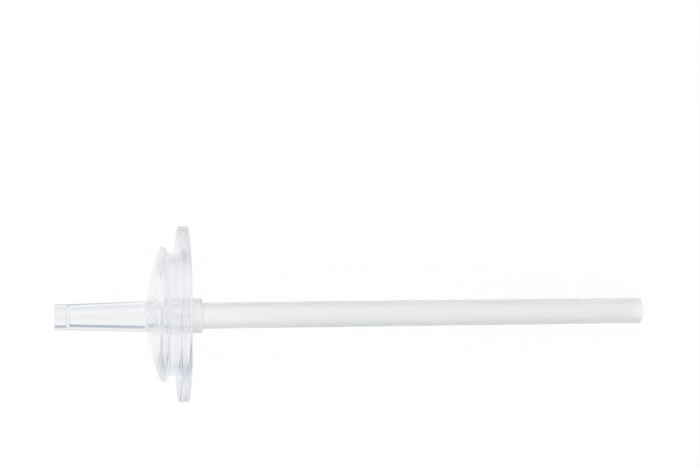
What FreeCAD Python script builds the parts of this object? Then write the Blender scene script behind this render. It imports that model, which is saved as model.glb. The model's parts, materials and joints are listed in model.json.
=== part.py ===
"""Drinking straw for a lidded cup, in two pieces.

The mouthpiece is one moulding of clear silicone rubber: a soft tapered spout, a shallow dome with a
beaded lip, the neck that the lid's hole grips, a round sealing flange, and a socket that stands inside
the dome. The straw tube is a plain length of translucent plastic tube, pushed into the socket up to a
shoulder. A thin wall with a cross slit closes the spout just behind its tip, and opens when sucked.

Both pieces are drawn about the tube's own axis, with u = 0 at the flange's tube side and u growing
towards the spout's tip. The straw is then laid down as it comes to rest on a table: on the flange's
edge and the tube's far end, with the spout towards -X. Sizes are in millimetres.
"""

import FreeCAD
import Part

import math
import os

# The tube.
TUBE_OUTER_D = 6.0
TUBE_WALL = 0.65
TUBE_LENGTH = 114.2
TUBE_EDGE_R = 0.1

# The socket that grips the tube. Its shoulder, which stops the tube, is just under the dome, and its
# mouth stands out past the flange.
SOCKET_WALL = 0.95
SOCKET_DEPTH = 10.6
SHOULDER_BELOW_DOME_TOP = 2.1
SOCKET_LEAD_IN = 0.25
SOCKET_EDGE_R = 0.2

# The neck that a lid's hole grips, the flange that seals round it, and the groove between flange and lip.
NECK_D = 28.3
NECK_WALL = 2.1
NECK_FOOT_R = 0.3
NECK_MOUTH_R = 0.4
FLANGE_WIDTH = 5.85
FLANGE_THICKNESS = 2.3
FLANGE_EDGE_R = 0.3
GROOVE_WIDTH = 2.55

# The lip, which stands out past the neck, and the dome.
LIP_OVERHANG = 1.35
LIP_BEAD_R = 0.75
LIP_UNDERCUT_R = 0.5
DOME_SPHERE_R = 38.0
DOME_WALL = 1.2
DOME_INNER_CORNER_R = 0.8

# The spout, which tapers to the slit wall. Its tip is a short plain length beyond that.
SPOUT_LENGTH = 20.65
SPOUT_ROOT_D = 7.0
SPOUT_TIP_D = 5.9
SPOUT_WALL = 1.1
SPOUT_EDGE_R = 0.25
TIP_WALL = 0.92
TIP_DEPTH = 2.8
ROOT_FILLET_R = 0.4

# The narrow throat between the socket and the spout's bore. It tapers from the shoulder, and flares slowly
# towards the spout.
THROAT_D = 3.8
THROAT_LENGTH = 0.3
THROAT_TAPER = 0.7
THROAT_FLARE = 1.5

# The slit wall.
SLIT_WALL = 0.4
SLIT_LENGTH = 1.6
SLIT_WIDTH = 0.14

# The spout and the socket stand off the flange's centre, and the straw has rolled until they hang
# below that centre, a little to one side.
SPOUT_OFF_CENTRE = 1.1
ROLL_DEG = 28.0

TUBE_R = TUBE_OUTER_D / 2
TUBE_BORE_R = TUBE_R - TUBE_WALL
SOCKET_R = TUBE_R + SOCKET_WALL
NECK_R = NECK_D / 2
NECK_BORE_R = NECK_R - NECK_WALL
FLANGE_R = NECK_R + FLANGE_WIDTH
SPOUT_ROOT_R = SPOUT_ROOT_D / 2
SPOUT_TIP_R = SPOUT_TIP_D / 2
THROAT_R = THROAT_D / 2
U_SEAT = FLANGE_THICKNESS

# The lip's bead is a circle that touches the dome's sphere from inside.
BEAD_R = NECK_R + LIP_OVERHANG - LIP_BEAD_R
U_BEAD = U_SEAT + GROOVE_WIDTH + LIP_BEAD_R
U_SPHERE = U_BEAD - math.sqrt((DOME_SPHERE_R - LIP_BEAD_R) ** 2 - BEAD_R**2)
DOME_INNER_SPHERE_R = DOME_SPHERE_R - DOME_WALL
U_DOME_TOP = U_SPHERE + DOME_SPHERE_R

# Along the axis, from the spout's tip back to the tube's far end.
U_TIP = U_DOME_TOP + SPOUT_LENGTH
U_SLIT_OUTER = U_TIP - TIP_DEPTH
U_SLIT_INNER = U_SLIT_OUTER - SLIT_WALL
U_SHOULDER = U_DOME_TOP - SHOULDER_BELOW_DOME_TOP
U_MOUTH = U_SHOULDER - SOCKET_DEPTH
U_TUBE_END = U_SHOULDER - TUBE_LENGTH

# The flange's centre, as seen from the tube's axis once the straw has rolled.
ROLL = math.radians(ROLL_DEG)
BELL_Y = -SPOUT_OFF_CENTRE * math.sin(ROLL)
BELL_Z = SPOUT_OFF_CENTRE * math.cos(ROLL)

AXIAL = FreeCAD.Vector(1, 0, 0)

# How far a cutting shape reaches past what it cuts, and how an edge is told apart from its neighbours.
MARGIN = 1.0
EDGE_SAMPLES = 12
EDGE_TOLERANCE = 0.02


def point(u, r):
    """A point of a half section: u along the axis, r away from it."""
    return FreeCAD.Vector(u, 0, r)


def line(a, b):
    """A straight side of a half section."""
    return Part.LineSegment(a, b).toShape()


def arc(centre, radius, start_deg, end_deg):
    """An arc in the half section's plane, with angles measured from +u towards +r."""
    spots = []
    for deg in (start_deg, (start_deg + end_deg) / 2, end_deg):
        way = math.radians(deg)
        spots.append(centre + point(math.cos(way), math.sin(way)) * radius)
    return Part.Arc(*spots).toShape()


def corner(before, tip, after, radius):
    """Where a round of this radius leaves one straight side and joins the next, and its middle."""
    to_before = (before - tip).normalize()
    to_after = (after - tip).normalize()
    half = to_before.getAngle(to_after) / 2
    reach = radius / math.tan(half)
    middle_way = (to_before + to_after).normalize()
    middle = tip + middle_way * (radius / math.sin(half) - radius)
    return tip + to_before * reach, middle, tip + to_after * reach


def outline(corners):
    """A closed run of straight sides, from (u, r, corner radius) rows."""
    spots = [point(u, r) for u, r, _ in corners]
    runs = []
    for i, (_, _, radius) in enumerate(corners):
        if radius:
            after = spots[(i + 1) % len(spots)]
            runs.append(corner(spots[i - 1], spots[i], after, radius))
        else:
            runs.append((spots[i],))
    edges = []
    for i, run in enumerate(runs):
        if len(run) == 3:
            edges.append(Part.Arc(*run).toShape())
        following = runs[(i + 1) % len(runs)][0]
        if not run[-1].isEqual(following, 1e-7):
            edges.append(line(run[-1], following))
    return edges


def turned(edges, y=0.0, z=0.0):
    """The solid that a closed half section sweeps about the axis through (y, z)."""
    face = Part.Face(Part.Wire(Part.__sortEdges__(edges)))
    solid = face.revolve(FreeCAD.Vector(0, 0, 0), AXIAL, 360)
    solid.translate(FreeCAD.Vector(0, y, z))
    return solid


def angle(centre, spot):
    """The angle of a point about a centre, in the half section."""
    return math.degrees(math.atan2(spot.z - centre.z, spot.x - centre.x))


def bell():
    """The flange, neck, lip and dome, hollow from the tube's side, without the spout's passage."""
    bead = point(U_BEAD, BEAD_R)
    sphere = point(U_SPHERE, 0)

    # The undercut joins the neck to the bead, touching both.
    undercut_r = NECK_R + LIP_UNDERCUT_R
    reach = math.sqrt((LIP_BEAD_R + LIP_UNDERCUT_R) ** 2 - (BEAD_R - undercut_r) ** 2)
    undercut = point(U_BEAD - reach, undercut_r)
    share = LIP_UNDERCUT_R / (LIP_UNDERCUT_R + LIP_BEAD_R)
    undercut_end = undercut + (bead - undercut) * share
    bead_end = angle(sphere, bead)

    # The inner corner rounds the neck's inside into the dome's inside, touching both.
    corner_r = NECK_BORE_R - DOME_INNER_CORNER_R
    to_corner = DOME_INNER_SPHERE_R - DOME_INNER_CORNER_R
    inner_corner = point(U_SPHERE + math.sqrt(to_corner**2 - corner_r**2), corner_r)
    inner_end = angle(sphere, inner_corner)

    flange = corner(point(U_SEAT, NECK_R), point(U_SEAT, FLANGE_R), point(0, FLANGE_R), FLANGE_EDGE_R)
    rim = corner(point(U_SEAT, FLANGE_R), point(0, FLANGE_R), point(0, NECK_R), FLANGE_EDGE_R)
    foot = corner(point(U_SEAT, FLANGE_R), point(U_SEAT, NECK_R), point(U_BEAD, NECK_R), NECK_FOOT_R)
    mouth = corner(point(0, FLANGE_R), point(0, NECK_BORE_R), point(U_BEAD, NECK_BORE_R), NECK_MOUTH_R)

    edges = [
        Part.Arc(*mouth).toShape(),
        line(mouth[0], rim[2]),
        Part.Arc(*rim).toShape(),
        line(rim[0], flange[2]),
        Part.Arc(*flange).toShape(),
        line(flange[0], foot[0]),
        Part.Arc(*foot).toShape(),
        line(foot[2], point(undercut.x, NECK_R)),
        arc(undercut, LIP_UNDERCUT_R, -90, angle(undercut, undercut_end)),
        arc(bead, LIP_BEAD_R, angle(bead, undercut_end) + 360, bead_end),
        arc(sphere, DOME_SPHERE_R, bead_end, 0),
        line(point(U_DOME_TOP, 0), point(U_SPHERE + DOME_INNER_SPHERE_R, 0)),
        arc(sphere, DOME_INNER_SPHERE_R, 0, inner_end),
        arc(inner_corner, DOME_INNER_CORNER_R, inner_end, 90),
        line(point(inner_corner.x, NECK_BORE_R), mouth[2]),
    ]
    return turned(edges, BELL_Y, BELL_Z)


def stem():
    """The socket and the spout, solid, drawn about the tube's axis and meeting inside the dome's wall."""
    u_join = U_DOME_TOP - DOME_WALL / 2
    return turned(
        outline(
            [
                (U_MOUTH, 0, 0),
                (U_MOUTH, SOCKET_R, SOCKET_EDGE_R),
                (u_join, SOCKET_R, 0),
                (u_join, SPOUT_ROOT_R, 0),
                (U_DOME_TOP, SPOUT_ROOT_R, 0),
                (U_SLIT_OUTER, SPOUT_TIP_R, 0),
                (U_TIP, SPOUT_TIP_R, SPOUT_EDGE_R),
                (U_TIP, 0, 0),
            ]
        )
    )


def socket_bore():
    """What the tube fills, with a small lead-in at the mouth."""
    return turned(
        outline(
            [
                (U_MOUTH - MARGIN, 0, 0),
                (U_MOUTH - MARGIN, TUBE_R + SOCKET_LEAD_IN, 0),
                (U_MOUTH, TUBE_R + SOCKET_LEAD_IN, 0),
                (U_MOUTH + SOCKET_LEAD_IN, TUBE_R, 0),
                (U_SHOULDER, TUBE_R, 0),
                (U_SHOULDER, 0, 0),
            ]
        )
    )


def spout_bore():
    """The passage from the shoulder through the throat to the slit wall."""
    u_throat = U_SHOULDER + THROAT_TAPER
    u_wide = u_throat + THROAT_LENGTH + THROAT_FLARE
    return turned(
        outline(
            [
                (U_SHOULDER - MARGIN, 0, 0),
                (U_SHOULDER - MARGIN, TUBE_BORE_R, 0),
                (U_SHOULDER, TUBE_BORE_R, 0),
                (u_throat, THROAT_R, 0),
                (u_throat + THROAT_LENGTH, THROAT_R, 0),
                (u_wide, SPOUT_ROOT_R - SPOUT_WALL, 0),
                (U_SLIT_INNER, SPOUT_TIP_R - SPOUT_WALL, SPOUT_EDGE_R),
                (U_SLIT_INNER, 0, 0),
            ]
        )
    )


def tip_bore():
    """The open cup in front of the slit wall."""
    return turned(
        outline(
            [
                (U_SLIT_OUTER, 0, 0),
                (U_SLIT_OUTER, SPOUT_TIP_R - TIP_WALL, SPOUT_EDGE_R),
                (U_TIP + MARGIN, SPOUT_TIP_R - TIP_WALL, 0),
                (U_TIP + MARGIN, 0, 0),
            ]
        )
    )


def slit():
    """Two crossing cuts through the slit wall."""
    start = U_SLIT_INNER - MARGIN
    deep = SLIT_WALL + 2 * MARGIN
    cuts = []
    for across, up in ((SLIT_WIDTH, SLIT_LENGTH), (SLIT_LENGTH, SLIT_WIDTH)):
        cuts.append(Part.makeBox(deep, across, up, FreeCAD.Vector(start, -across / 2, -up / 2)))
    return cuts[0].fuse(cuts[1])


def where_they_meet(body, stem_r, sphere_r):
    """The edges where a round stem of this radius runs into the dome's outer or inner sphere."""
    centre = FreeCAD.Vector(U_SPHERE, BELL_Y, BELL_Z)
    found = []
    for edge in body.Edges:
        off = 0.0
        for spot in edge.discretize(EDGE_SAMPLES):
            off = max(off, abs(math.hypot(spot.y, spot.z) - stem_r))
            off = max(off, abs(spot.distanceToPoint(centre) - sphere_r))
        if off < EDGE_TOLERANCE:
            found.append(edge)
    return found


def mouthpiece():
    """The whole silicone moulding."""
    body = bell().fuse(stem()).removeSplitter()
    roots = where_they_meet(body, SPOUT_ROOT_R, DOME_SPHERE_R)
    roots += where_they_meet(body, SOCKET_R, DOME_INNER_SPHERE_R)
    body = body.makeFillet(ROOT_FILLET_R, roots)
    for passage in (socket_bore(), spout_bore(), tip_bore(), slit()):
        body = body.cut(passage)
    return body.removeSplitter()


def straw_tube():
    """The plain tube, cut square at both ends with the edges just broken."""
    return turned(
        outline(
            [
                (U_TUBE_END, TUBE_BORE_R, TUBE_EDGE_R),
                (U_TUBE_END, TUBE_R, TUBE_EDGE_R),
                (U_SHOULDER, TUBE_R, TUBE_EDGE_R),
                (U_SHOULDER, TUBE_BORE_R, TUBE_EDGE_R),
            ]
        )
    )


def rest_angle():
    """How far the axis leans up towards the spout when flange edge and tube end both touch the table."""
    # Each touches on a rounded edge, and the lowest points of the two small rounds have to be level.
    across = (FLANGE_R - FLANGE_EDGE_R - BELL_Z) - (TUBE_R - TUBE_EDGE_R)
    along = FLANGE_EDGE_R - (U_TUBE_END + TUBE_EDGE_R)
    rise = FLANGE_EDGE_R - TUBE_EDGE_R
    return math.atan2(across, along) + math.asin(rise / math.hypot(across, along))


def resting_place():
    """Turns the drawn axis into the lying straw, with the middle of its box over the origin."""
    about = FreeCAD.Rotation(FreeCAD.Vector(0, 0, 1), 180)
    lean = FreeCAD.Rotation(FreeCAD.Vector(0, 1, 0), math.degrees(rest_angle()))
    turn = lean.multiply(about)

    # The middles of the rounds that reach furthest: down at the flange, and out at tube end and tip.
    low = turn.multVec(FreeCAD.Vector(FLANGE_EDGE_R, BELL_Y, BELL_Z - FLANGE_R + FLANGE_EDGE_R))
    right = turn.multVec(FreeCAD.Vector(U_TUBE_END + TUBE_EDGE_R, 0, TUBE_R - TUBE_EDGE_R))
    left = turn.multVec(FreeCAD.Vector(U_TIP - SPOUT_EDGE_R, 0, SPOUT_EDGE_R - SPOUT_TIP_R))
    x_middle = (right.x + TUBE_EDGE_R + left.x - SPOUT_EDGE_R) / 2
    return FreeCAD.Placement(FreeCAD.Vector(-x_middle, -low.y, FLANGE_EDGE_R - low.z), turn)


def main():
    os.makedirs("parts", exist_ok=True)
    place = resting_place()
    for name, shape in (("mouthpiece", mouthpiece()), ("straw_tube", straw_tube())):
        laid = shape.transformed(place.toMatrix(), copy=True)
        laid.exportStep(f"parts/{name}.step")
        print(name, "solids", len(laid.Solids), "valid", laid.isValid(), "volume", round(laid.Volume, 2))


main()
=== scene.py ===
"""Dresses the spare straw for a lidded cup: a clear silicone mouthpiece and a milky plastic tube."""

import json
import math

import bmesh
import bpy
import numpy as np
from bpy.props import FloatProperty, FloatVectorProperty, IntProperty, PointerProperty
from mathutils import Matrix, Vector


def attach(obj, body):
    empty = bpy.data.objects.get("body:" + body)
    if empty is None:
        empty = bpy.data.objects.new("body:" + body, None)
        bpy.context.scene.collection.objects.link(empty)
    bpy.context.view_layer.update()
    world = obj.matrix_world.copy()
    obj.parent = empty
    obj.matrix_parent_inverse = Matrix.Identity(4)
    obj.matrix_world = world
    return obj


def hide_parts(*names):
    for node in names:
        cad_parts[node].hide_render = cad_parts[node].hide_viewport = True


bl_info = {
    "name": "Cup Straw",
    "version": (1, 0, 0),
    "blender": (4, 5, 0),
    "location": "View3D > Sidebar > Cup Straw",
    "description": "Builds a spare drinking straw for a lidded cup round its packed frame",
    "category": "Add Mesh",
}

BODY = "root"
MM = 0.001

# The radius left at the tube's cut edges, which its mounts leave out of their lengths.
CUT_EDGE = 0.1 * MM

# The small hole at a closed skin's end, which a fan of faces fills.
POLE_R = 0.1 * MM

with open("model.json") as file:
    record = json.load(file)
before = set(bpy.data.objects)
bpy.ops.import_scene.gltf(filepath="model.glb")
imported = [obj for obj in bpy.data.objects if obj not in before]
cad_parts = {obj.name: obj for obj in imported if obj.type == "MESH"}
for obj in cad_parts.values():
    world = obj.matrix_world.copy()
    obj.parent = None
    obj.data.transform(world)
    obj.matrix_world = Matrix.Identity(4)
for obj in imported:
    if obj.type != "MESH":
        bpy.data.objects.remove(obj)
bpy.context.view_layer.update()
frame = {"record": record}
MOUNTS = {mount["name"]: mount for mount in frame["record"]["mounts"]}


def mount_size(name, key):
    """A mount's size in metres."""
    return MOUNTS[name]["dims"][key] * MM


class Axis:
    """The straw's own directions: u runs from the flange's tube side towards the spout's tip.

    Points are given as u, side and rise about the tube's axis. The bell, which is the flange, neck, lip and
    dome, stands off that axis.
    """

    def __init__(self):
        self.along = Vector(MOUNTS["spout_tip"]["axis"]).normalized()
        self.side = Vector((0, 1, 0))
        self.rise = self.side.cross(self.along).normalized()
        under = Vector(MOUNTS["flange_underside"]["pos_m"])
        end = Vector(MOUNTS["tube_bore"]["pos_m"])
        self.zero = end + self.along * (under - end).dot(self.along)
        bell = Vector(MOUNTS["neck_groove"]["pos_m"]) - self.zero
        self.bell = np.array([bell.dot(self.side), bell.dot(self.rise)])
        self.groove_u = bell.dot(self.along)
        self.tip_u = (Vector(MOUNTS["spout_tip"]["pos_m"]) - self.zero).dot(self.along)
        self.end_u = (end - self.zero).dot(self.along)

    def to_row(self, local):
        """Turns an array of (u, side, rise) into points of the row frame."""
        turn = np.array([self.along, self.side, self.rise])
        return local @ turn + np.array(self.zero)


AXIS = Axis()


class MouthpieceSizes(bpy.types.PropertyGroup):
    """Sizes of the silicone moulding that its mounts don't give."""

    flange_radius: FloatProperty(
        name="Flange radius",
        description="Outer radius of the sealing flange",
        default=20.0 * MM,
        unit="LENGTH",
    )
    flange_thickness: FloatProperty(
        name="Flange thickness",
        description="Thickness of the sealing flange",
        default=2.3 * MM,
        unit="LENGTH",
    )
    flange_edge: FloatProperty(
        name="Flange edge round",
        description="Radius that breaks the flange's edges",
        default=0.3 * MM,
        unit="LENGTH",
    )
    neck_wall: FloatProperty(
        name="Neck wall",
        description="Thickness of the neck's wall",
        default=2.1 * MM,
        unit="LENGTH",
    )
    neck_foot: FloatProperty(
        name="Neck foot round",
        description="Radius between the neck and the flange",
        default=0.3 * MM,
        unit="LENGTH",
    )
    neck_mouth: FloatProperty(
        name="Neck mouth round",
        description="Radius at the open side of the hollow",
        default=0.4 * MM,
        unit="LENGTH",
    )
    lip_overhang: FloatProperty(
        name="Lip overhang",
        description="How far the lip stands out past the neck",
        default=1.35 * MM,
        unit="LENGTH",
    )
    lip_bead: FloatProperty(
        name="Lip bead radius",
        description="Radius of the lip's round bead",
        default=0.75 * MM,
        unit="LENGTH",
    )
    lip_undercut: FloatProperty(
        name="Lip undercut radius",
        description="Radius of the hollow round between neck and lip",
        default=0.5 * MM,
        unit="LENGTH",
    )
    dome_radius: FloatProperty(
        name="Dome radius",
        description="Radius of the sphere that the dome is part of",
        default=38.0 * MM,
        unit="LENGTH",
    )
    dome_wall: FloatProperty(
        name="Dome wall",
        description="Thickness of the dome",
        default=1.2 * MM,
        unit="LENGTH",
    )
    dome_corner: FloatProperty(
        name="Dome inner corner",
        description="Radius between the neck's inside and the dome's inside",
        default=0.8 * MM,
        unit="LENGTH",
    )
    root_fillet: FloatProperty(
        name="Root fillet",
        description="Radius where the spout and the socket meet the dome",
        default=0.4 * MM,
        unit="LENGTH",
    )
    spout_root: FloatProperty(
        name="Spout root radius",
        description="Outer radius of the spout where it leaves the dome",
        default=3.5 * MM,
        unit="LENGTH",
    )
    spout_wall: FloatProperty(
        name="Spout wall",
        description="Thickness of the spout's wall",
        default=1.1 * MM,
        unit="LENGTH",
    )
    spout_edge: FloatProperty(
        name="Spout edge round",
        description="Radius at the spout's tip and at the slit wall",
        default=0.25 * MM,
        unit="LENGTH",
    )
    tip_rim: FloatProperty(
        name="Tip rim round",
        description="Radius at the inner edge of the spout's open tip",
        default=0.08 * MM,
        unit="LENGTH",
    )
    tip_wall: FloatProperty(
        name="Tip wall",
        description="Thickness of the spout's wall in front of the slit wall",
        default=0.92 * MM,
        unit="LENGTH",
    )
    tip_depth: FloatProperty(
        name="Tip depth",
        description="Depth of the open cup in front of the slit wall",
        default=2.8 * MM,
        unit="LENGTH",
    )
    slit_wall: FloatProperty(
        name="Slit wall",
        description="Thickness of the wall that the slit goes through",
        default=0.4 * MM,
        unit="LENGTH",
    )
    slit_length: FloatProperty(
        name="Slit length",
        description="Length of each cut of the cross slit",
        default=1.6 * MM,
        unit="LENGTH",
    )
    slit_width: FloatProperty(
        name="Slit width",
        description="Width of each cut of the cross slit",
        default=0.14 * MM,
        unit="LENGTH",
    )
    socket_wall: FloatProperty(
        name="Socket wall",
        description="Thickness of the socket that grips the tube",
        default=0.95 * MM,
        unit="LENGTH",
    )
    socket_mouth: FloatProperty(
        name="Socket mouth",
        description="How far the socket stands out of the flange",
        default=3.306 * MM,
        unit="LENGTH",
    )
    socket_edge: FloatProperty(
        name="Socket edge round",
        description="Radius at the socket's outer edge",
        default=0.2 * MM,
        unit="LENGTH",
    )
    socket_lead: FloatProperty(
        name="Socket lead-in",
        description="Chamfer at the socket's mouth",
        default=0.25 * MM,
        unit="LENGTH",
    )
    throat_radius: FloatProperty(
        name="Throat radius",
        description="Radius of the narrow throat between socket and spout",
        default=1.9 * MM,
        unit="LENGTH",
    )
    throat_length: FloatProperty(
        name="Throat length",
        description="Length of the narrow throat",
        default=0.3 * MM,
        unit="LENGTH",
    )
    throat_taper: FloatProperty(
        name="Throat taper",
        description="Length of the taper from the socket's shoulder to the throat",
        default=0.7 * MM,
        unit="LENGTH",
    )
    throat_flare: FloatProperty(
        name="Throat flare",
        description="Length over which the throat widens to the spout's bore",
        default=1.5 * MM,
        unit="LENGTH",
    )
    squeeze: FloatProperty(
        name="Squeeze",
        description="How far the socket's relaxed bore is smaller than the tube it grips",
        default=0.01 * MM,
        unit="LENGTH",
    )
    segments: IntProperty(
        name="Segments",
        description="Divisions round the moulding",
        default=192,
        min=24,
        max=256,
    )


class TubeSizes(bpy.types.PropertyGroup):
    """Sizes of the plastic tube that its mounts don't give."""

    cut_edge: FloatProperty(
        name="Cut edge",
        description="Radius left at the edges where the tube was cut",
        default=CUT_EDGE,
        unit="LENGTH",
    )
    rings: IntProperty(
        name="Rings",
        description="Divisions along the tube",
        default=160,
        min=8,
        max=400,
    )
    segments: IntProperty(
        name="Segments",
        description="Divisions round the tube",
        default=128,
        min=24,
        max=256,
    )


class Finishes(bpy.types.PropertyGroup):
    """Colours and gloss of the two materials."""

    silicone_colour: FloatVectorProperty(
        name="Spout",
        description="Tint of the spout's clear rubber",
        subtype="COLOR",
        size=3,
        min=0,
        max=1,
        default=(0.943, 0.946, 0.955),
    )
    # Painted shade: the spout darker and bluer edge on, partly its own absorption through most rubber and
    # partly painted shade of the dark surroundings it shows there.
    spout_edge_tint_and_shade: FloatVectorProperty(
        name="Spout edge",
        description="Tint of the spout where it is seen edge on, through most rubber",
        subtype="COLOR",
        size=3,
        min=0,
        max=1,
        default=(0.72, 0.78, 0.83),
    )
    bell_colour: FloatVectorProperty(
        name="Bell",
        description="Tint of the rubber of dome and neck",
        subtype="COLOR",
        size=3,
        min=0,
        max=1,
        default=(0.95, 0.952, 0.96),
    )
    rim_colour: FloatVectorProperty(
        name="Rim",
        description="Tint of the rubber of lip and flange, which are seen through their whole width",
        subtype="COLOR",
        size=3,
        min=0,
        max=1,
        default=(0.85, 0.856, 0.88),
    )
    socket_colour: FloatVectorProperty(
        name="Socket",
        description="Tint of the rubber of the socket, which clings to the tube",
        subtype="COLOR",
        size=3,
        min=0,
        max=1,
        default=(0.998, 0.998, 1.0),
    )
    silicone_roughness: FloatProperty(
        name="Spout roughness",
        description="Roughness of the polished rubber of the spout",
        default=0.1,
        subtype="FACTOR",
        min=0,
        max=1,
    )
    mould_roughness: FloatProperty(
        name="Mould skin roughness",
        description="Roughness of the rubber of dome, lip and flange",
        default=0.17,
        subtype="FACTOR",
        min=0,
        max=1,
    )
    tube_colour: FloatVectorProperty(
        name="Tube",
        description="Colour of the milky plastic next to the mouthpiece",
        subtype="COLOR",
        size=3,
        min=0,
        max=1,
        default=(0.955, 0.955, 0.955),
    )
    tube_end_colour: FloatVectorProperty(
        name="Tube end",
        description="Colour of the milky plastic at the tube's far end",
        subtype="COLOR",
        size=3,
        min=0,
        max=1,
        default=(0.905, 0.909, 0.905),
    )
    # Painted shade: the tube darker where it is seen edge on, partly the longer path through its wall and
    # partly painted shade.
    tube_edge_tint_and_shade: FloatVectorProperty(
        name="Tube edge",
        description="Colour of the milky plastic where it is seen edge on, through most of its wall",
        subtype="COLOR",
        size=3,
        min=0,
        max=1,
        default=(0.79, 0.8, 0.795),
    )
    held_colour: FloatVectorProperty(
        name="Held tube",
        description="Colour of the plastic where the rubber wets it",
        subtype="COLOR",
        size=3,
        min=0,
        max=1,
        default=(1.0, 1.0, 1.0),
    )
    tube_roughness: FloatProperty(
        name="Tube roughness",
        description="Roughness of the extruded plastic",
        default=0.42,
        subtype="FACTOR",
        min=0,
        max=1,
    )
    wetted_roughness: FloatProperty(
        name="Wetted roughness",
        description="Roughness of the tube's outside where the rubber wets it",
        default=0.05,
        subtype="FACTOR",
        min=0,
        max=1,
    )
    held_roughness: FloatProperty(
        name="Held bore roughness",
        description="Roughness of the tube's bore inside the socket",
        default=0.08,
        subtype="FACTOR",
        min=0,
        max=1,
    )


class StageSettings(bpy.types.PropertyGroup):
    """Camera, floor and light."""

    camera_height: FloatProperty(
        name="Camera height",
        description="Height of the lens above the table",
        default=0.42,
        unit="LENGTH",
    )
    lens: FloatProperty(
        name="Lens",
        description="Focal length in millimetres on a sensor 36 mm wide",
        default=90.3,
        unit="CAMERA",
        min=10,
    )
    straw_turn: FloatProperty(
        name="Turn of the straw",
        description="How far the straw is turned anticlockwise in the picture",
        default=math.radians(0.3),
        unit="ROTATION",
    )
    floor_radius: FloatProperty(
        name="Floor radius",
        description="Radius of the pale floor",
        default=3.0,
        unit="LENGTH",
    )
    floor_colour: FloatVectorProperty(
        name="Floor",
        description="Colour of the floor",
        subtype="COLOR",
        size=3,
        min=0,
        max=1,
        default=(0.96, 0.96, 0.96),
    )
    shadow_share: FloatProperty(
        name="Shadow share",
        description="How much of the shadow the white floor keeps",
        default=0.1,
        subtype="FACTOR",
        min=0,
        max=1,
    )
    studio_strength: FloatProperty(
        name="Studio strength",
        description="Strength of the soft light all round the straw",
        default=1.18,
        min=0,
    )


def points_of_arc(centre, radius, start, end, steps):
    """Points (u, r) along an arc, with angles in degrees from +u towards +r, both ends included."""
    angles = np.radians(np.linspace(start, end, steps + 1))
    return [(centre[0] + radius * math.cos(a), centre[1] + radius * math.sin(a)) for a in angles]


def points_of_line(start, end, steps, hold=0.03 * MM):
    """Points (u, r) along a straight side, with one close to each end that keeps it flat."""
    start, end = np.array(start), np.array(end)
    length = float(np.linalg.norm(end - start))
    near = min(hold / length, 0.25)
    shares = [0.0, near, *np.linspace(near, 1 - near, steps + 1)[1:-1], 1 - near, 1.0]
    return [tuple(start + (end - start) * share) for share in shares]


def joined(*runs, apart=1e-7):
    """One list of points from several, without the ones that repeat where two runs meet."""
    points = []
    for run in runs:
        for point in run:
            if not points or math.dist(points[-1], point) > apart:
                points.append(point)
    return points


def circles(points, angles, centre=(0.0, 0.0)):
    """Turns points (u, r) into rings of (u, side, rise) about an axis through centre."""
    rings = []
    for u, r in points:
        ring = np.empty((len(angles), 3))
        ring[:, 0] = u
        ring[:, 1] = centre[0] + r * np.cos(angles)
        ring[:, 2] = centre[1] + r * np.sin(angles)
        rings.append(ring)
    return rings


def on_sphere(spots, sphere_u, radius):
    """Rings of (u, side, rise) from flat spots, lifted on to a sphere about the bell's axis."""
    away = np.hypot(spots[:, 0] - AXIS.bell[0], spots[:, 1] - AXIS.bell[1])
    return np.column_stack([sphere_u + np.sqrt(radius**2 - away**2), spots])


def fillet_rings(angles, stem_radius, sphere_u, radius, fillet, outside, steps):
    """Rings of a fillet between a round stem and the dome's sphere, from the stem to the sphere."""
    ways = np.column_stack([np.cos(angles), np.sin(angles)])
    toward = ways @ AXIS.bell
    off_plane = ways @ np.array([AXIS.bell[1], -AXIS.bell[0]])
    section = np.sqrt(radius**2 - off_plane**2)
    reach = section + fillet if outside else section - fillet
    middle_r = stem_radius + fillet
    middle_u = sphere_u + np.sqrt(reach**2 - (middle_r - toward) ** 2)
    # Angles in each half plane: from the middle of the fillet, to the stem and to the sphere.
    to_sphere = np.arctan2(toward - middle_r, sphere_u - middle_u)
    if not outside:
        to_sphere = to_sphere + math.pi
    to_stem = -math.pi / 2
    to_sphere = np.where(to_sphere > math.pi / 2, to_sphere - 2 * math.pi, to_sphere)
    rings = []
    for share in np.linspace(0, 1, steps + 1):
        turn = to_stem + (to_sphere - to_stem) * share
        ring_u = middle_u + fillet * np.cos(turn)
        ring_r = middle_r + fillet * np.sin(turn)
        rings.append(np.column_stack([ring_u, ways * ring_r[:, None]]))
    return rings


def dome_rings(start, end_radius, angles, sphere_u, radius, steps):
    """Rings that drift from a ring about the stem to a circle about the bell's axis, on a sphere.

    One ring lies close to each end, which keeps the joins crisp.
    """
    ways = np.column_stack([np.cos(angles), np.sin(angles)])
    goal = AXIS.bell + ways * end_radius
    rings = []
    near_start, near_end = 0.01, 0.995
    for share in [near_start, *np.linspace(0, 1, steps + 1)[1:-1], near_end, 1.0]:
        spots = start[:, 1:] * (1 - share) + goal * share
        rings.append(on_sphere(spots, sphere_u, radius))
    return rings


def between(start, end, steps, near=0.005):
    """Rings that run straight from one ring to another, without the two but with rings close to them."""
    shares = [near, *np.linspace(0, 1, steps + 1)[1:-1], 1 - near]
    return [start * (1 - share) + end * share for share in shares]


def closed_mesh(name, verts, faces, smooth):
    """A mesh of a closed skin, with its faces turned outwards."""
    mesh = bpy.data.meshes.new(name)
    mesh.from_pydata(verts, [], faces)
    work = bmesh.new()
    work.from_mesh(mesh)
    bmesh.ops.recalc_face_normals(work, faces=work.faces)
    for face in work.faces:
        face.smooth = smooth
    work.to_mesh(mesh)
    work.free()
    return mesh


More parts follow.
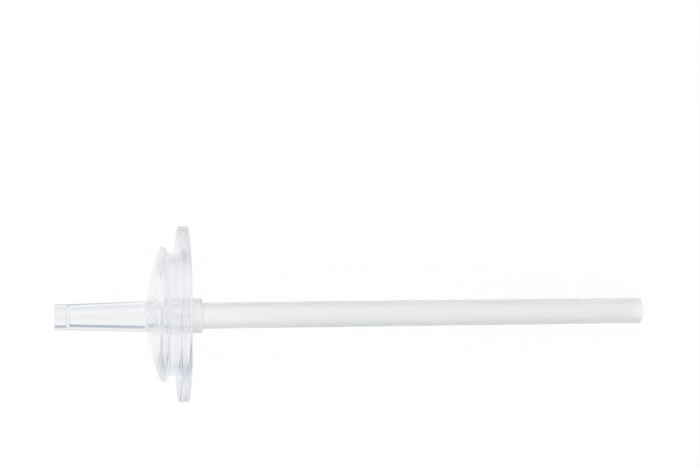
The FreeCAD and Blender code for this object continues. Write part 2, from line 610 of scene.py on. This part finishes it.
def skin_from_rings(name, rings, closed):
    """A smooth mesh object from rings of local points: a closed loop of them, or a run closed by poles."""
    count = len(rings[0])
    local = np.concatenate(rings)
    corners = AXIS.to_row(local)
    faces = []
    last = len(rings) if closed else len(rings) - 1
    for i in range(last):
        a, b = i * count, ((i + 1) % len(rings)) * count
        for j in range(count):
            k = (j + 1) % count
            faces.append((a + j, a + k, b + k, b + j))
    verts = [tuple(c) for c in corners]
    if not closed:
        for ring_start, flip in ((0, False), ((len(rings) - 1) * count, True)):
            pole = len(verts)
            verts.append(tuple(np.mean(corners[ring_start : ring_start + count], axis=0)))
            for j in range(count):
                k = (j + 1) % count
                face = (ring_start + k, ring_start + j, pole)
                faces.append(face[::-1] if flip else face)
    piece = bpy.data.objects.new(name, closed_mesh(name, verts, faces, smooth=True))
    bpy.context.scene.collection.objects.link(piece)
    return piece


class BellCircles:
    """The circles of the bell's section: bead, undercut, inner corner and sphere, and where they meet."""

    def __init__(self, size):
        self.neck_r = mount_size("neck_groove", "r_mm")
        bead_u = size.flange_thickness + mount_size("neck_groove", "length_mm") + size.lip_bead
        bead_r = self.neck_r + size.lip_overhang - size.lip_bead
        self.bead = (bead_u, bead_r)
        self.sphere_u = bead_u - math.sqrt((size.dome_radius - size.lip_bead) ** 2 - bead_r**2)
        undercut_r = self.neck_r + size.lip_undercut
        both = size.lip_bead + size.lip_undercut
        undercut_u = bead_u - math.sqrt(both**2 - (bead_r - undercut_r) ** 2)
        self.undercut = (undercut_u, undercut_r)
        self.bead_to_dome = math.degrees(math.atan2(bead_r, bead_u - self.sphere_u))
        self.undercut_to_bead = math.degrees(math.atan2(bead_r - undercut_r, bead_u - undercut_u))
        self.dome_edge_r = size.dome_radius * math.sin(math.radians(self.bead_to_dome))
        self.inner_radius = size.dome_radius - size.dome_wall
        self.hollow_r = self.neck_r - size.neck_wall
        corner_r = self.hollow_r - size.dome_corner
        corner_u = self.sphere_u + math.sqrt((self.inner_radius - size.dome_corner) ** 2 - corner_r**2)
        self.corner = (corner_u, corner_r)
        self.corner_turn = math.degrees(math.atan2(corner_r, corner_u - self.sphere_u))
        self.inner_edge_r = self.inner_radius * math.sin(math.radians(self.corner_turn))


def slit_face(size):
    """The place along the axis of the slit wall's outer face."""
    return AXIS.tip_u + size.spout_edge - size.tip_depth


def tip_section(size):
    """The tip's points (u, r): from the slit wall's outer face, round the rim, to the taper's end."""
    tip_u = AXIS.tip_u + size.spout_edge
    tip_r = mount_size("spout_tip", "r_mm")
    cup_r = tip_r - size.tip_wall
    face = slit_face(size)
    edge = size.spout_edge
    rim = size.tip_rim
    return joined(
        points_of_line((face, POLE_R), (face, cup_r - edge), 8),
        points_of_arc((face + edge, cup_r - edge), edge, 180, 90, 6),
        points_of_line((face + edge, cup_r), (tip_u - rim, cup_r), 4),
        points_of_arc((tip_u - rim, cup_r + rim), rim, -90, 0, 4),
        points_of_line((tip_u, cup_r + rim), (tip_u, tip_r - edge), 2),
        points_of_arc((tip_u - edge, tip_r - edge), edge, 0, 90, 6),
        points_of_line((tip_u - edge, tip_r), (face, tip_r), 4),
    )


def bell_section(size, bell):
    """The bell's points (u, r) about its own axis: from the bead, round the flange, to the inner corner."""
    neck_r, hollow_r, flange_r = bell.neck_r, bell.hollow_r, size.flange_radius
    thick = size.flange_thickness
    broken = size.flange_edge
    foot = size.neck_foot
    mouth = size.neck_mouth
    return joined(
        points_of_arc(bell.bead, size.lip_bead, bell.bead_to_dome, 180 + bell.undercut_to_bead, 18),
        points_of_arc(bell.undercut, size.lip_undercut, bell.undercut_to_bead, -90, 8),
        points_of_line((bell.undercut[0], neck_r), (thick + foot, neck_r), 3),
        points_of_arc((thick + foot, neck_r + foot), foot, 270, 180, 5),
        points_of_line((thick, neck_r + foot), (thick, flange_r - broken), 6),
        points_of_arc((thick - broken, flange_r - broken), broken, 0, 90, 6),
        points_of_line((thick - broken, flange_r), (broken, flange_r), 4),
        points_of_arc((broken, flange_r - broken), broken, 90, 180, 6),
        points_of_line((0, flange_r - broken), (0, hollow_r + mouth), 8),
        points_of_arc((mouth, hollow_r + mouth), mouth, 180, 270, 6),
        points_of_line((mouth, hollow_r), (bell.corner[0], hollow_r), 4),
        points_of_arc(bell.corner, size.dome_corner, 90, bell.corner_turn, 8),
    )


def passage_section(size, start):
    """The passage's points (u, r): from start, on the socket's end, through the throat to the slit wall."""
    end = start[0]
    bore = mount_size("tube_outside", "r_mm") - size.squeeze
    tube_bore = mount_size("tube_bore", "r_mm")
    lead = size.socket_lead
    shoulder = AXIS.end_u + mount_size("tube_bore", "length_mm") + CUT_EDGE
    throat = shoulder + size.throat_taper
    flare = throat + size.throat_length
    wide = flare + size.throat_flare
    spout_bore = size.spout_root - size.spout_wall
    end_bore = mount_size("spout_tip", "r_mm") - size.spout_wall
    edge = size.spout_edge
    face = slit_face(size) - size.slit_wall
    return joined(
        points_of_line(start, (end, bore + lead), 1),
        points_of_line((end, bore + lead), (end + lead, bore), 2),
        points_of_line((end + lead, bore), (shoulder, bore), 10),
        points_of_line((shoulder, bore), (shoulder, tube_bore), 2),
        points_of_line((shoulder, tube_bore), (throat, size.throat_radius), 4),
        points_of_line((throat, size.throat_radius), (flare, size.throat_radius), 3),
        points_of_line((flare, size.throat_radius), (wide, spout_bore), 4),
        points_of_line((wide, spout_bore), (face - edge, end_bore), 16),
        points_of_arc((face - edge, end_bore - edge), edge, 90, 0, 6),
        points_of_line((face, end_bore - edge), (face, POLE_R), 8),
    )


def mouthpiece_rings(size):
    """All rings of the silicone moulding, from the slit wall's outer face round to its inner face."""
    angles = np.linspace(0, 2 * math.pi, size.segments, endpoint=False)
    bell = BellCircles(size)
    rings = circles(tip_section(size), angles)

    # The taper runs to the top of the root fillet, whose height changes round the eccentric spout.
    root = fillet_rings(angles, size.spout_root, bell.sphere_u, size.dome_radius, size.root_fillet, True, 8)
    rings += between(rings[-1], root[0], 16)
    rings += root
    rings += dome_rings(root[-1], bell.dome_edge_r, angles, bell.sphere_u, size.dome_radius, 22)
    rings += circles(bell_section(size, bell), angles, AXIS.bell)[1:]

    # The dome's inside, back to the socket's root.
    socket_r = mount_size("tube_outside", "r_mm") + size.socket_wall
    inner = fillet_rings(angles, socket_r, bell.sphere_u, bell.inner_radius, size.root_fillet, False, 8)
    vault = dome_rings(inner[-1], bell.inner_edge_r, angles, bell.sphere_u, bell.inner_radius, 16)
    rings += vault[::-1][1:]
    rings += inner[::-1]

    # The socket's outside, its rounded edge and the passage.
    round_r = size.socket_edge
    end = -size.socket_mouth
    edge = circles(points_of_arc((end + round_r, socket_r - round_r), round_r, 90, 180, 5), angles)
    rings += between(rings[-1], edge[0], 8)
    rings += edge
    rings += circles(passage_section(size, (end, socket_r - round_r)), angles)[1:]
    return rings


def slit_cutter(size):
    """A bar with a cross for its section, as long as the slit wall is thick and a little more."""
    middle = slit_face(size) - size.slit_wall / 2
    past = 0.2 * MM
    deep = size.slit_wall / 2 + past
    thin, far = size.slit_width / 2, size.slit_length / 2
    quarter = [(far, -thin), (far, thin), (thin, thin)]
    section = []
    for _ in range(4):
        section += quarter
        quarter = [(-up, across) for across, up in quarter]
    local = [(middle + way * deep, across, up) for way in (-1, 1) for across, up in section]
    count = len(section)
    sides = [(i, (i + 1) % count, (i + 1) % count + count, i + count) for i in range(count)]
    ends = [tuple(range(count))[::-1], tuple(range(count, 2 * count))]
    verts = [tuple(c) for c in AXIS.to_row(np.array(local))]
    mesh = closed_mesh("slit_cutter", verts, sides + ends, smooth=False)
    return bpy.data.objects.new("slit_cutter", mesh)


def cut_slit(piece, size):
    """Cuts the cross slit through the wall behind the spout's tip."""
    cutter = slit_cutter(size)
    bpy.context.scene.collection.objects.link(cutter)
    cut = piece.modifiers.new("slit", "BOOLEAN")
    cut.operation = "DIFFERENCE"
    cut.solver = "EXACT"
    cut.object = cutter
    bpy.context.view_layer.update()
    depsgraph = bpy.context.evaluated_depsgraph_get()
    solid = bpy.data.meshes.new_from_object(piece.evaluated_get(depsgraph))
    if len(solid.vertices) in (0, len(piece.data.vertices)):
        raise RuntimeError("the slit was not cut")
    piece.data = solid
    piece.data.name = piece.name
    piece.modifiers.clear()
    bpy.data.objects.remove(cutter)


def tube_rings(size):
    """A closed loop of rings for the tube: outside, cut end, bore and inner end."""
    angles = np.linspace(0, 2 * math.pi, size.segments, endpoint=False)
    outer = mount_size("tube_outside", "r_mm")
    bore = mount_size("tube_bore", "r_mm")
    cut = size.cut_edge
    far = AXIS.end_u
    near = far + mount_size("tube_bore", "length_mm")
    section = joined(
        points_of_line((near, outer), (far, outer), size.rings),
        points_of_arc((far, outer - cut), cut, 90, 180, 4),
        points_of_line((far - cut, outer - cut), (far - cut, bore + cut), 2),
        points_of_arc((far, bore + cut), cut, 180, 270, 4),
        points_of_line((far, bore), (near, bore), size.rings // 2),
        points_of_arc((near, bore + cut), cut, -90, 0, 4),
        points_of_line((near + cut, bore + cut), (near + cut, outer - cut), 2),
        points_of_arc((near, outer - cut), cut, 0, 90, 4),
    )
    return circles(section[:-1], angles)


def new_material(name):
    """A material with a Principled shader, and the nodes and links that a caller works with."""
    material = bpy.data.materials.new(name)
    material.use_nodes = True
    tree = material.node_tree
    return material, tree.nodes["Principled BSDF"], tree.nodes, tree.links


def place_on_axis(nodes, links):
    """Node outputs of a point's offset from the axis's zero, and how far that is along the axis."""
    place = nodes.new("ShaderNodeTexCoord")
    off = nodes.new("ShaderNodeVectorMath")
    off.operation = "SUBTRACT"
    off.inputs[1].default_value = AXIS.zero
    dot = nodes.new("ShaderNodeVectorMath")
    dot.operation = "DOT_PRODUCT"
    dot.inputs[1].default_value = AXIS.along
    links.new(place.outputs["Object"], off.inputs[0])
    links.new(off.outputs["Vector"], dot.inputs[0])
    return off.outputs["Vector"], dot.outputs["Value"]


def along_axis(nodes, links, start, end):
    """A node output that goes from 0 to 1 along the straw, between two places measured in u."""
    u = place_on_axis(nodes, links)[1]
    return spread(nodes, links, u, 0.0, 1.0, start, end)


def off_axis(nodes, links, start, end):
    """A node output that goes from 0 to 1 between two distances from the tube's axis."""
    offset, u = place_on_axis(nodes, links)
    foot = nodes.new("ShaderNodeVectorMath")
    foot.operation = "SCALE"
    foot.inputs[0].default_value = AXIS.along
    links.new(u, foot.inputs["Scale"])
    away = nodes.new("ShaderNodeVectorMath")
    away.operation = "DISTANCE"
    links.new(offset, away.inputs[0])
    links.new(foot.outputs["Vector"], away.inputs[1])
    return spread(nodes, links, away.outputs["Value"], 0.0, 1.0, start, end)


def noise(nodes, links, scale, detail, stretch=(1.0, 1.0, 1.0), lean=0.0):
    """A noise pattern in the piece's own space, turned to lie along the straw and stretched."""
    place = nodes.new("ShaderNodeTexCoord")
    turn = nodes.new("ShaderNodeMapping")
    turn.inputs["Rotation"].default_value = (0.0, lean, 0.0)
    turn.inputs["Scale"].default_value = stretch
    pattern = nodes.new("ShaderNodeTexNoise")
    pattern.inputs["Scale"].default_value = scale
    pattern.inputs["Detail"].default_value = detail
    links.new(place.outputs["Object"], turn.inputs["Vector"])
    links.new(turn.outputs["Vector"], pattern.inputs["Vector"])
    return pattern.outputs["Fac"]


# Most of a noise pattern's values lie between these two.
NOISE_LOW, NOISE_HIGH = 0.3, 0.7


def spread(nodes, links, value, low, high, start=NOISE_LOW, end=NOISE_HIGH):
    """Maps a node output's range, a noise pattern's if no other is given, on to low to high."""
    share = nodes.new("ShaderNodeMapRange")
    share.inputs["From Min"].default_value = start
    share.inputs["From Max"].default_value = end
    share.inputs["To Min"].default_value = low
    share.inputs["To Max"].default_value = high
    links.new(value, share.inputs["Value"])
    return share.outputs[0]


def blend(nodes, links, share, low, high):
    """A number that goes from low to high with a share; either may be a node output."""
    mix = nodes.new("ShaderNodeMix")
    mix.data_type = "FLOAT"
    links.new(share, mix.inputs["Factor"])
    for socket, value in ((mix.inputs["A"], low), (mix.inputs["B"], high)):
        if isinstance(value, float):
            socket.default_value = value
        else:
            links.new(value, socket)
    return mix.outputs["Result"]


def mixed(nodes, links, share, low, high):
    """A colour that goes from low to high with a share; either may be a node output."""
    mix = nodes.new("ShaderNodeMix")
    mix.data_type = "RGBA"
    links.new(share, mix.inputs["Factor"])
    for socket, colour in ((mix.inputs["A"], low), (mix.inputs["B"], high)):
        if isinstance(colour, bpy.types.NodeSocket):
            links.new(colour, socket)
        else:
            socket.default_value = (*colour, 1)
    return mix.outputs["Result"]


def times(nodes, links, first, second):
    """The product of two colour outputs."""
    mix = nodes.new("ShaderNodeMix")
    mix.data_type = "RGBA"
    mix.blend_type = "MULTIPLY"
    mix.inputs["Factor"].default_value = 1.0
    links.new(first, mix.inputs["A"])
    links.new(second, mix.inputs["B"])
    return mix.outputs["Result"]


def greater(nodes, links, first, second):
    """The greater of two node outputs."""
    node = nodes.new("ShaderNodeMath")
    node.operation = "MAXIMUM"
    links.new(first, node.inputs[0])
    links.new(second, node.inputs[1])
    return node.outputs[0]


def ramp(nodes, links, share, stops):
    """A colour by a share from 0 to 1, from a list of stops."""
    node = nodes.new("ShaderNodeValToRGB")
    elements = node.color_ramp.elements
    while len(elements) < len(stops):
        elements.new(0.5)
    for element, (place, colour) in zip(elements, stops):
        element.position = place
        element.color = (*colour, 1)
    links.new(share, node.inputs["Fac"])
    return node.outputs["Color"]


def grazing(nodes, links, start, end):
    """A node output that goes from 0 to 1 as a surface turns from facing the view to edge on."""
    weight = nodes.new("ShaderNodeLayerWeight")
    return spread(nodes, links, weight.outputs["Facing"], 0.0, 1.0, start, end)


def roughness_round(nodes, links, pattern, middle, share):
    """A roughness that a pattern moves up and down by a share of its middle value."""
    return spread(nodes, links, pattern, middle * (1 - share), middle * (1 + share))


def bumped(nodes, links, pattern, strength, depth):
    """A normal from a pattern's height."""
    bump = nodes.new("ShaderNodeBump")
    bump.inputs["Strength"].default_value = strength
    bump.inputs["Distance"].default_value = depth
    links.new(pattern, bump.inputs["Height"])
    return bump.outputs["Normal"]


def clouds(nodes, links, pattern, depth=0.01):
    """A grey to multiply a colour by: white where a pattern is high, darker by depth where it is low."""
    dark = (1 - depth, 1 - depth, 1 - depth)
    return ramp(nodes, links, pattern, [(NOISE_LOW, dark), (NOISE_HIGH, (1.0, 1.0, 1.0))])


# Where the rubber's finish changes: along the axis at the spout's root, and away from the axis outside the
# socket and outside the neck.
SPOUT_ROOT = (8.4 * MM, 10.4 * MM)
OFF_SOCKET = (4.3 * MM, 5.5 * MM)
OFF_NECK = (14.5 * MM, 16.5 * MM)

# How far the flange reaches from the tube's axis, with a little to spare.
FLANGE_REACH = 22 * MM

# Where the tube's finish changes: along the axis, from clear to milky and on to its far tone, and away from
# the axis, from its outside to its bore.
CLEAR_TO_MILKY = (0.0, -0.4 * MM)
FAR_TONE_FROM = -6 * MM
OUTSIDE_TO_BORE = (2.8 * MM, 2.6 * MM)

# How strongly each material bends light.
SILICONE_IOR = 1.41
TUBE_IOR = 1.49

# Where a piece's edge tone begins and where it is full: at 0 a surface faces the view, at 1 it is edge on.
# The edge tone is partly the longer path through the material and partly painted shade.
SPOUT_EDGE_ON = (0.52, 0.8)
TUBE_EDGE_ON = (0.06, 0.78)

# Patterns per metre: faint clouds in the rubber, the grain of its skin, and the tube's drawing lines.
CLOUD_SCALE = 140.0
GRAIN_SCALE = 5200.0
DRAW_SCALE = 900.0


def silicone_material(finish):
    """Clear silicone rubber: polished on the spout and with a matt mould's skin on dome, lip and flange."""
    material, shader, nodes, links = new_material("clear silicone rubber")
    shader.inputs["IOR"].default_value = SILICONE_IOR
    shader.inputs["Transmission Weight"].default_value = 1.0
    on_spout = along_axis(nodes, links, *SPOUT_ROOT)
    tones = (finish.socket_colour, finish.bell_colour, finish.bell_colour, finish.rim_colour)
    bell_stops = [(away / FLANGE_REACH, tone) for away, tone in zip(OFF_SOCKET + OFF_NECK, tones)]
    bell = ramp(nodes, links, off_axis(nodes, links, 0.0, FLANGE_REACH), bell_stops)
    # Painted shade: darker and bluer where the spout turns edge on, partly its absorption and partly
    # painted shade.
    edge_on = grazing(nodes, links, *SPOUT_EDGE_ON)
    spout = mixed(nodes, links, edge_on, finish.silicone_colour, finish.spout_edge_tint_and_shade)
    tint = mixed(nodes, links, on_spout, bell, spout)
    cloud = clouds(nodes, links, noise(nodes, links, CLOUD_SCALE, detail=2.0))
    links.new(times(nodes, links, tint, cloud), shader.inputs["Base Color"])
    grain = noise(nodes, links, GRAIN_SCALE, detail=2.0)
    polished = roughness_round(nodes, links, grain, finish.silicone_roughness, share=0.2)
    matt = roughness_round(nodes, links, grain, finish.mould_roughness, share=0.15)
    links.new(blend(nodes, links, on_spout, matt, polished), shader.inputs["Roughness"])
    links.new(bumped(nodes, links, grain, strength=0.03, depth=0.002 * MM), shader.inputs["Normal"])
    return material


def tube_material(finish):
    """Extruded plastic with a satin skin, milky where it is free and clear where the rubber wets it."""
    material, shader, nodes, links = new_material("milky tube plastic")
    lean = -math.atan2(AXIS.along.z, -AXIS.along.x)
    free = along_axis(nodes, links, *CLEAR_TO_MILKY)
    inside = off_axis(nodes, links, *OUTSIDE_TO_BORE)
    draw = noise(nodes, links, DRAW_SCALE, detail=3.0, stretch=(0.03, 1.0, 1.0), lean=lean)
    shader.inputs["IOR"].default_value = TUBE_IOR
    shader.inputs["Transmission Weight"].default_value = 0.97
    # Painted shade: the milky plastic darker as it turns edge on, partly the longer path through its wall
    # and partly painted shade.
    edge_on = grazing(nodes, links, *TUBE_EDGE_ON)
    to_end = along_axis(nodes, links, FAR_TONE_FROM, AXIS.end_u)
    milky = mixed(nodes, links, to_end, finish.tube_colour, finish.tube_end_colour)
    milky = times(nodes, links, milky, clouds(nodes, links, draw))
    milky = mixed(nodes, links, edge_on, milky, finish.tube_edge_tint_and_shade)
    links.new(mixed(nodes, links, free, finish.held_colour, milky), shader.inputs["Base Color"])
    skin = roughness_round(nodes, links, draw, finish.tube_roughness, share=0.05)
    held = blend(nodes, links, inside, finish.wetted_roughness, finish.held_roughness)
    links.new(blend(nodes, links, free, held, skin), shader.inputs["Roughness"])
    links.new(bumped(nodes, links, draw, strength=0.06, depth=0.01 * MM), shader.inputs["Normal"])
    return material


# The painted shade of the table, as rubber and tube show it: the dark room beyond a lit table and the
# straw's own soft shadow beside it, painted as tones by place. Millimetres behind the straw, or in front of
# it where they are negative, then a colour. One list is for the tube, one for the bell and one for the
# spout.
TUBE_PAINTED_SHADE = (
    (-40, (0.9, 0.91, 0.92)),
    (-16, (0.6, 0.63, 0.65)),
    (-1, (1.0, 1.0, 1.0)),
    (6, (1.0, 1.0, 1.0)),
    (30, (0.86, 0.87, 0.87)),
)
BELL_PAINTED_SHADE = (
    (-32, (0.8, 0.85, 0.9)),
    (-18, (1.0, 1.0, 1.0)),
    (22, (1.0, 1.0, 1.0)),
    (36, (0.68, 0.7, 0.74)),
)
SPOUT_PAINTED_SHADE = (
    (-60, (0.02, 0.04, 0.08)),
    (-40, (0.5, 0.57, 0.65)),
    (-20, (0.66, 0.71, 0.77)),
    (-13, (0.9, 0.92, 0.94)),
    (-10, (1.0, 1.0, 1.0)),
    (6, (1.0, 1.0, 1.0)),
    (28, (0.76, 0.78, 0.81)),
    (44, (1.0, 1.0, 1.0)),
)
TABLE_REACH = 80 * MM

# Where one list gives way to the next along the straw, in metres of X.
BELL_TO_SPOUT = (-0.045, -0.051)
BELL_TO_TUBE = (-0.029, -0.021)


def table_stops(tones):
    """A painted shade list's places as shares of the table's reach."""
    return [((y * MM / TABLE_REACH + 1) / 2, colour) for y, colour in tones]


def floor_material(stage):
    """The table: white to the camera with a share of the shadow, and painted shade by place through the
    straw.
    """
    material = bpy.data.materials.new("pale floor")
    material.use_nodes = True
    nodes, links = material.node_tree.nodes, material.node_tree.links
    nodes.clear()
    out = nodes.new("ShaderNodeOutputMaterial")
    path = nodes.new("ShaderNodeLightPath")
    place = nodes.new("ShaderNodeTexCoord")
    parts = nodes.new("ShaderNodeSeparateXYZ")
    links.new(place.outputs["Object"], parts.inputs[0])
    reach = spread(nodes, links, parts.outputs["Y"], 0.0, 1.0, -TABLE_REACH, TABLE_REACH)
    by_spout = spread(nodes, links, parts.outputs["X"], 0.0, 1.0, *BELL_TO_SPOUT)
    by_tube = spread(nodes, links, parts.outputs["X"], 0.0, 1.0, *BELL_TO_TUBE)
    # Painted shade: the dark room beyond the lit table and the straw's own shadow beside it, as glass rays
    # see the table.
    lists = (BELL_PAINTED_SHADE, SPOUT_PAINTED_SHADE, TUBE_PAINTED_SHADE)
    bell, spout, tube = [ramp(nodes, links, reach, table_stops(tones)) for tones in lists]
    table = mixed(nodes, links, by_tube, mixed(nodes, links, by_spout, bell, spout), tube)
    shown = mixed(nodes, links, path.outputs["Is Camera Ray"], table, (1.0, 1.0, 1.0))
    white = nodes.new("ShaderNodeEmission")
    links.new(shown, white.inputs["Color"])
    matt = nodes.new("ShaderNodeBsdfDiffuse")
    matt.inputs["Color"].default_value = (*stage.floor_colour, 1)
    share = nodes.new("ShaderNodeMath")
    share.operation = "MULTIPLY"
    share.inputs[1].default_value = 1 - stage.shadow_share
    links.new(path.outputs["Is Camera Ray"], share.inputs[0])
    glass = greater(nodes, links, path.outputs["Is Glossy Ray"], path.outputs["Is Transmission Ray"])
    seen = nodes.new("ShaderNodeMixShader")
    links.new(greater(nodes, links, share.outputs[0], glass), seen.inputs[0])
    links.new(matt.outputs[0], seen.inputs[1])
    links.new(white.outputs[0], seen.inputs[2])
    links.new(seen.outputs[0], out.inputs["Surface"])
    material.cycles.emission_sampling = "NONE"
    return material


FLOOR_SEGMENTS = 96


def make_floor(stage):
    """A round floor that the straw lies on."""
    mesh = bpy.data.meshes.new("floor")
    work = bmesh.new()
    bmesh.ops.create_circle(work, cap_ends=True, radius=stage.floor_radius, segments=FLOOR_SEGMENTS)
    work.to_mesh(mesh)
    work.free()
    floor = bpy.data.objects.new("floor", mesh)
    bpy.context.scene.collection.objects.link(floor)
    floor.data.materials.append(floor_material(stage))


# The picture's size, and where the middle of the flange's tube side is in it, in pixels.
PICTURE = (700, 467)
FLANGE_AT = (187.95, 313.8)

# In millimetres, as the lens is.
SENSOR_WIDTH = 36.0


def make_camera(stage):
    """A camera that looks straight down, with the straw where the photograph has it."""
    data = bpy.data.cameras.new("camera")
    data.lens = stage.lens
    data.sensor_width = SENSOR_WIDTH
    data.clip_start = 0.01
    data.clip_end = 20.0
    camera = bpy.data.objects.new("camera", data)
    bpy.context.scene.collection.objects.link(camera)
    focal = stage.lens / SENSOR_WIDTH * PICTURE[0]
    flange = Vector(AXIS.to_row(np.array([0.0, *AXIS.bell])))
    depth = stage.camera_height - flange.z
    seen = Vector((FLANGE_AT[0] - PICTURE[0] / 2, PICTURE[1] / 2 - FLANGE_AT[1])) * (depth / focal)
    turn = Matrix.Rotation(-stage.straw_turn, 4, "Z")
    foot = flange - turn @ Vector((seen.x, seen.y, 0))
    camera.matrix_world = Matrix.Translation((foot.x, foot.y, stage.camera_height)) @ turn
    bpy.context.scene.camera = camera


# The studio's brightness by height: the sine of the elevation, then a colour. One list is for the room, the
# other for a darker card low down in front of the straw. Both are dim overhead, round the camera.
ROOM = (
    (-1.0, (0.8, 0.8, 0.8)),
    (0.0, (0.8, 0.82, 0.86)),
    (0.25, (0.95, 0.97, 1.0)),
    (0.75, (1.0, 1.0, 1.0)),
    (0.9, (0.66, 0.66, 0.67)),
    (1.0, (0.6, 0.6, 0.61)),
)
CARD = (
    (-1.0, (0.5, 0.56, 0.65)),
    (0.0, (0.5, 0.56, 0.65)),
    (0.35, (1.0, 1.0, 1.0)),
    (0.75, (1.0, 1.0, 1.0)),
    (0.9, (0.66, 0.66, 0.67)),
    (1.0, (0.6, 0.6, 0.61)),
)

# How far past the diagonals in front of the straw the card is at its full tone.
CARD_EDGE = -0.35


def sky_stops(tones):
    """A tone list's sines as shares from straight down to straight up."""
    return [((sine + 1) / 2, colour) for sine, colour in tones]


# Light goes to and fro many times inside clear rubber before it leaves. Blurring it more at each turn would
# lose it, so the stage also sets that blur to none.
BOUNCES = 32


def make_world(stage):
    """Soft studio light: brightest half way up, dimmer low down and overhead, and white to the camera."""
    world = bpy.data.worlds.new("studio")
    bpy.context.scene.world = world
    world.use_nodes = True
    nodes, links = world.node_tree.nodes, world.node_tree.links
    nodes.clear()
    out = nodes.new("ShaderNodeOutputWorld")
    sky = nodes.new("ShaderNodeBackground")
    white = nodes.new("ShaderNodeBackground")
    white.inputs["Strength"].default_value = 1.0
    mix = nodes.new("ShaderNodeMixShader")
    path = nodes.new("ShaderNodeLightPath")
    way = nodes.new("ShaderNodeTexCoord")
    parts = nodes.new("ShaderNodeSeparateXYZ")
    links.new(way.outputs["Generated"], parts.inputs[0])
    height = spread(nodes, links, parts.outputs["Z"], 0.0, 1.0, -1.0, 1.0)
    wide = nodes.new("ShaderNodeMath")
    wide.operation = "ABSOLUTE"
    links.new(parts.outputs["X"], wide.inputs[0])
    slant = nodes.new("ShaderNodeMath")
    slant.operation = "ADD"
    links.new(parts.outputs["Y"], slant.inputs[0])
    links.new(wide.outputs[0], slant.inputs[1])
    front = spread(nodes, links, slant.outputs[0], 0.0, 1.0, 0.0, CARD_EDGE)
    room, card = [ramp(nodes, links, height, sky_stops(tones)) for tones in (ROOM, CARD)]
    links.new(mixed(nodes, links, front, room, card), sky.inputs["Color"])
    sky.inputs["Strength"].default_value = stage.studio_strength
    links.new(path.outputs["Is Camera Ray"], mix.inputs[0])
    links.new(sky.outputs[0], mix.inputs[1])
    links.new(white.outputs[0], mix.inputs[2])
    links.new(mix.outputs[0], out.inputs["Surface"])


class CUPSTRAW_OT_stage(bpy.types.Operator):
    """Sets the camera, the floor and the studio light"""

    bl_idname = "cupstraw.stage"
    bl_label = "Set the Stage"

    def execute(self, context):
        stage = context.scene.cupstraw_stage
        context.scene.view_settings.view_transform = "Standard"
        for kind in ("max", "transmission", "glossy", "diffuse", "transparent_max"):
            setattr(context.scene.cycles, kind + "_bounces", BOUNCES)
        context.scene.cycles.blur_glossy = 0.0
        make_camera(stage)
        make_floor(stage)
        make_world(stage)
        return {"FINISHED"}


class CUPSTRAW_OT_mouthpiece(bpy.types.Operator):
    """Builds the silicone mouthpiece: spout, dome, lip, neck, flange and socket in one skin"""

    bl_idname = "cupstraw.mouthpiece"
    bl_label = "Build the Mouthpiece"

    def execute(self, context):
        size = context.scene.cupstraw_mouthpiece
        piece = skin_from_rings("silicone_mouthpiece", mouthpiece_rings(size), closed=False)
        cut_slit(piece, size)
        piece.data.materials.clear()
        piece.data.materials.append(silicone_material(context.scene.cupstraw_finishes))
        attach(piece, BODY)
        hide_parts("mouthpiece")
        return {"FINISHED"}


class CUPSTRAW_OT_tube(bpy.types.Operator):
    """Builds the plastic tube with its bore and cut ends"""

    bl_idname = "cupstraw.tube"
    bl_label = "Build the Tube"

    def execute(self, context):
        size = context.scene.cupstraw_tube
        piece = skin_from_rings("drawn_tube", tube_rings(size), closed=True)
        piece.data.materials.append(tube_material(context.scene.cupstraw_finishes))
        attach(piece, BODY)
        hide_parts("straw_tube")
        return {"FINISHED"}


class CUPSTRAW_PT_panel(bpy.types.Panel):
    """Lists the steps that build the straw"""

    bl_idname = "CUPSTRAW_PT_panel"
    bl_label = "Cup Straw"
    bl_space_type = "VIEW_3D"
    bl_region_type = "UI"
    bl_category = "Cup Straw"

    def draw(self, context):
        for step in STEPS:
            self.layout.operator(step.bl_idname)


STEPS = (CUPSTRAW_OT_stage, CUPSTRAW_OT_mouthpiece, CUPSTRAW_OT_tube)
SETTINGS = {
    "cupstraw_mouthpiece": MouthpieceSizes,
    "cupstraw_tube": TubeSizes,
    "cupstraw_finishes": Finishes,
    "cupstraw_stage": StageSettings,
}


def register():
    for cls in (*SETTINGS.values(), *STEPS, CUPSTRAW_PT_panel):
        bpy.utils.register_class(cls)
    for name, cls in SETTINGS.items():
        setattr(bpy.types.Scene, name, PointerProperty(type=cls))


def unregister():
    for name in SETTINGS:
        delattr(bpy.types.Scene, name)
    for cls in (CUPSTRAW_PT_panel, *STEPS, *SETTINGS.values()):
        bpy.utils.unregister_class(cls)


def main():
    register()
    bpy.ops.cupstraw.stage()
    bpy.ops.cupstraw.mouthpiece()
    bpy.ops.cupstraw.tube()


if __name__ == "__main__":
    main()
